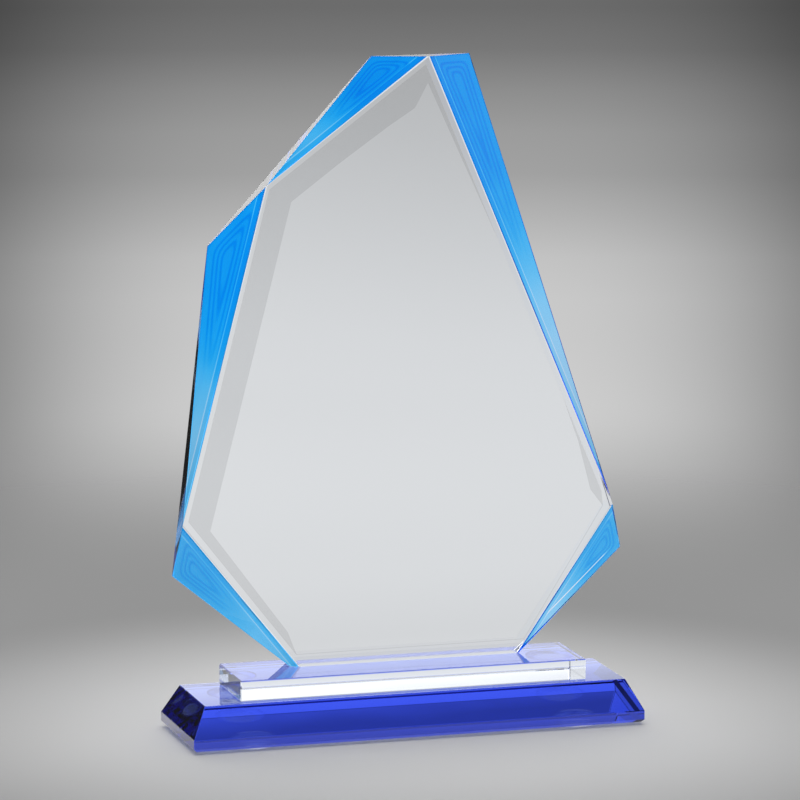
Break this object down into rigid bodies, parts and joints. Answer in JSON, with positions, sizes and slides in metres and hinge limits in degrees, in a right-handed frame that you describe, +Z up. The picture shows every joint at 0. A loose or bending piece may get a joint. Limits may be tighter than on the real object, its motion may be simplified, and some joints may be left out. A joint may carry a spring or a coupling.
{
  "type": "crystal award",
  "caption": "Free-standing crystal award: a tall faceted clear glass plaque with blue bevelled facets on a clear step and a bevelled blue glass base.",
  "frame": {"origin": "on the surface the award stands on, under the middle of the base", "axes": "+X to the right along the base as the reader faces the award, +Y away from the reader, through the plaque from front to back, +Z up"},
  "size_m": [0.1786, 0.051, 0.2551],
  "materials": {
    "clear_glass": "polished",
    "blue_glass": "polished",
    "blue_lacquer": "glossy translucent lacquer",
    "adhesive": "clear UV-cured adhesive",
    "clear_rubber": "soft clear polyurethane"
  },
  "bodies": {
    "root": {"blue_base": "blue_glass", "step_bond": "adhesive", "step_block": "clear_glass", "plaque_bond": "adhesive", "plaque": "clear_glass", "facet_coat_top_left": "blue_lacquer", "facet_coat_upper_left": "blue_lacquer", "facet_coat_lower_left": "blue_lacquer", "facet_coat_right": "blue_lacquer", "facet_coat_lower_right": "blue_lacquer", "foot_front_left": "clear_rubber", "foot_front_right": "clear_rubber", "foot_rear_left": "clear_rubber", "foot_rear_right": "clear_rubber"}
  },
  "joints": []
}
